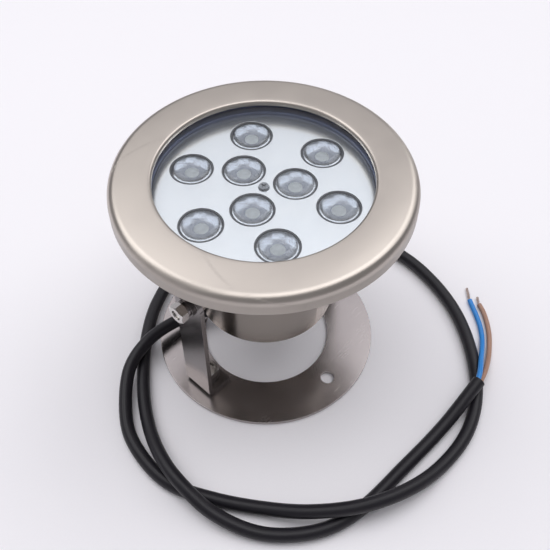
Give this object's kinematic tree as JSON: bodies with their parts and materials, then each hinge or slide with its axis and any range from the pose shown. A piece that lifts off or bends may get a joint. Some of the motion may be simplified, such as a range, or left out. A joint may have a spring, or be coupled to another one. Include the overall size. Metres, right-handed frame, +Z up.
{
  "type": "underwater pool light",
  "caption": "Round stainless underwater light with glass front and LED lenses, tilting between two brackets on a ring base, with a short two-core cable.",
  "frame": {"origin": "on the floor under the centre of the base ring, on the vertical axis of the light", "axes": "+Z up; +X along the tilt axis through both pivots; +Y completes the right-handed frame, towards one mounting hole"},
  "size_m": [0.2349, 0.2238, 0.139],
  "materials": {
    "satin_steel": "satin brushed stainless steel",
    "bright_steel": "bright stainless fasteners",
    "toughened_glass": "clear toughened glass",
    "seal_rubber": "moulded silicone",
    "plate_enamel": "pale satin coating",
    "lens_acrylic": "clear moulded acrylic",
    "holder_plastic": "moulded",
    "emitter_phosphor": "phosphor under clear silicone",
    "board_white": "white solder mask on aluminium",
    "bare_aluminium": "as turned",
    "spacer_brass": "as turned",
    "board_green": "solder mask",
    "component_black": "moulded",
    "terminal_green": "moulded",
    "cable_rubber": "extruded rubber jacket",
    "core_blue_pvc": "extruded core insulation",
    "core_brown_pvc": "extruded core insulation",
    "inner_lead_pvc": "extruded core insulation",
    "tinned_copper": "tinned copper strands"
  },
  "bodies": {
    "stand": {"base_plate": "satin_steel", "bracket_left": "satin_steel", "bracket_right": "satin_steel", "foot_studs": "bright_steel", "foot_flat_washers": "satin_steel", "foot_spring_washers": "satin_steel", "foot_nuts": "bright_steel", "power_cable": "cable_rubber", "core_blue": "core_blue_pvc", "core_brown": "core_brown_pvc", "strands_blue": "tinned_copper", "strands_brown": "tinned_copper"},
    "head": {"trim_ring": "satin_steel", "housing": "satin_steel", "pivot_bosses": "satin_steel", "pivot_flat_washers": "satin_steel", "pivot_spring_washers": "satin_steel", "trim_screws": "bright_steel", "trim_nuts": "bright_steel", "centre_screw": "bright_steel", "board_screws": "bright_steel", "pivot_studs": "bright_steel", "pivot_nuts": "bright_steel", "gland_body": "bright_steel", "gland_nut": "bright_steel", "gland_locknut": "bright_steel", "front_glass": "toughened_glass", "upper_gasket": "seal_rubber", "lower_gasket": "seal_rubber", "gland_seal": "seal_rubber", "led_cover_plate": "plate_enamel", "lens_1": "lens_acrylic", "lens_2": "lens_acrylic", "lens_3": "lens_acrylic", "lens_4": "lens_acrylic", "lens_5": "lens_acrylic", "lens_6": "lens_acrylic", "lens_7": "lens_acrylic", "lens_8": "lens_acrylic", "lens_9": "lens_acrylic", "lens_holders": "holder_plastic", "led_emitters": "emitter_phosphor", "led_board": "board_white", "heat_spreader": "bare_aluminium", "centre_standoff": "spacer_brass", "driver_standoffs": "spacer_brass", "driver_board": "board_green", "driver_parts": "component_black", "terminal_block": "terminal_green", "cable_tail": "cable_rubber", "inner_leads": "inner_lead_pvc"}
  },
  "joints": [
    {"name": "head_tilt", "type": "hinge", "parent": "stand", "child": "head", "pos_m": [0, 0, 0.084], "axis": [1, 0, 0], "range_deg": [-45, 45], "deforming": ["power_cable"]}
  ]
}
